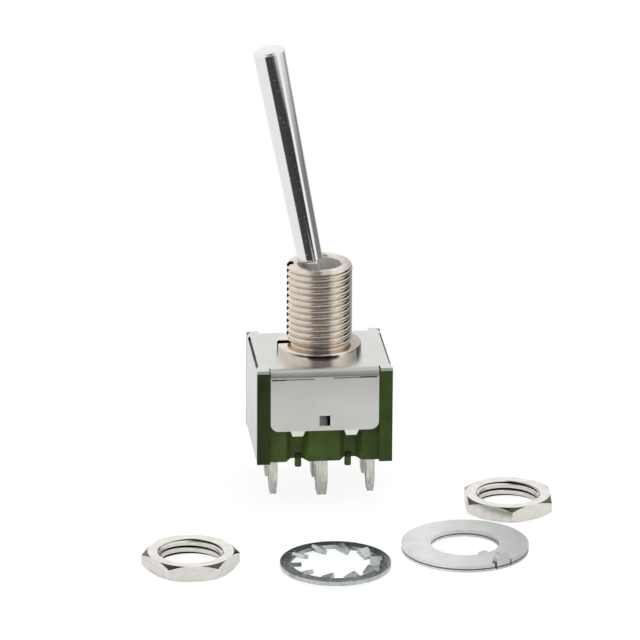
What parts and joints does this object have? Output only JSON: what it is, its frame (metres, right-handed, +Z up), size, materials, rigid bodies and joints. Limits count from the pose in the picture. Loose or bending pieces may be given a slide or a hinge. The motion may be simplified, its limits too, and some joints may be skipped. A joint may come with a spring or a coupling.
{
  "type": "panel toggle switch",
  "caption": "Miniature toggle switch with a threaded bushing, crimped metal cover, moulded case and solder lugs, laid out with its nuts, washer and locking ring.",
  "frame": {"origin": "centre of the panel seat: the bushing's axis at the top of its flange", "axes": "+Z up the bushing towards the lever's tip, +X along the lever's throw, from its rest side to the other, and +Y from the front to the rear"},
  "size_m": [0.0402, 0.0331, 0.0443],
  "materials": {
    "bushing_nickel": "bright nickel plate over brass",
    "cover_stainless": "satin stainless sheet",
    "case_moulding": "semi-gloss moulded thermoset",
    "seal_epoxy": "poured epoxy",
    "lever_chrome": "polished bright plate",
    "pin_steel": "ground steel",
    "actuator_moulding": "moulded plastic",
    "plunger_steel": "polished steel",
    "spring_steel": "drawn wire",
    "rocker_copper": "rolled copper alloy",
    "terminal_silver": "silver plate over brass",
    "contact_silver": "bright silver",
    "nut_nickel": "bright nickel plate over brass",
    "washer_zinc": "bright zinc plate",
    "ring_zinc": "matte zinc plate"
  },
  "bodies": {
    "switch_body": {"threaded_bushing": "bushing_nickel", "cover_frame": "cover_stainless", "switch_case": "case_moulding", "terminal_seal": "seal_epoxy", "terminal_front_centre": "terminal_silver", "terminal_front_left": "terminal_silver", "fixed_contact_front_left": "contact_silver", "terminal_front_right": "terminal_silver", "fixed_contact_front_right": "contact_silver", "terminal_rear_centre": "terminal_silver", "terminal_rear_left": "terminal_silver", "fixed_contact_rear_left": "contact_silver", "terminal_rear_right": "terminal_silver", "fixed_contact_rear_right": "contact_silver", "hex_nut_left": "nut_nickel", "hex_nut_right": "nut_nickel", "lock_washer": "washer_zinc", "locking_ring": "ring_zinc"},
    "lever": {"toggle_lever": "lever_chrome", "lever_pin": "pin_steel", "actuator_block": "actuator_moulding", "spring_front": "spring_steel", "spring_rear": "spring_steel"},
    "plunger_front_body": {"plunger_front": "plunger_steel"},
    "plunger_rear_body": {"plunger_rear": "plunger_steel"},
    "rocker_front_body": {"rocker_front": "rocker_copper", "rocker_contact_front_left": "contact_silver", "rocker_contact_front_right": "contact_silver"},
    "rocker_rear_body": {"rocker_rear": "rocker_copper", "rocker_contact_rear_left": "contact_silver", "rocker_contact_rear_right": "contact_silver"}
  },
  "joints": [
    {"name": "lever_throw", "type": "hinge", "parent": "switch_body", "child": "lever", "pos_m": [0, 0, 0.0037], "axis": [0, 1, 0], "range_deg": [0, 22]},
    {"name": "front_rocker_tilt", "type": "hinge", "parent": "switch_body", "child": "rocker_front_body", "pos_m": [0, -0.0024, -0.00775], "axis": [0, 1, 0], "range_deg": [-14, 0]},
    {"name": "front_plunger_press", "type": "slide", "parent": "lever", "child": "plunger_front_body", "axis": [-0.1908, 0, 0.9816], "range_m": [0, 0.0003], "stiffness_N_per_m": 500, "springref_m": -0.0008, "deforming": ["spring_front"]},
    {"name": "rear_rocker_tilt", "type": "hinge", "parent": "switch_body", "child": "rocker_rear_body", "pos_m": [0, 0.0024, -0.00775], "axis": [0, 1, 0], "range_deg": [-14, 0]},
    {"name": "rear_plunger_press", "type": "slide", "parent": "lever", "child": "plunger_rear_body", "axis": [-0.1908, 0, 0.9816], "range_m": [0, 0.0003], "stiffness_N_per_m": 500, "springref_m": -0.0008, "deforming": ["spring_rear"]}
  ],
  "couplings": [
    {"joint": "front_rocker_tilt", "follows": "lever_throw", "ratio": -0.63636},
    {"joint": "rear_rocker_tilt", "follows": "lever_throw", "ratio": -0.63636}
  ]
}
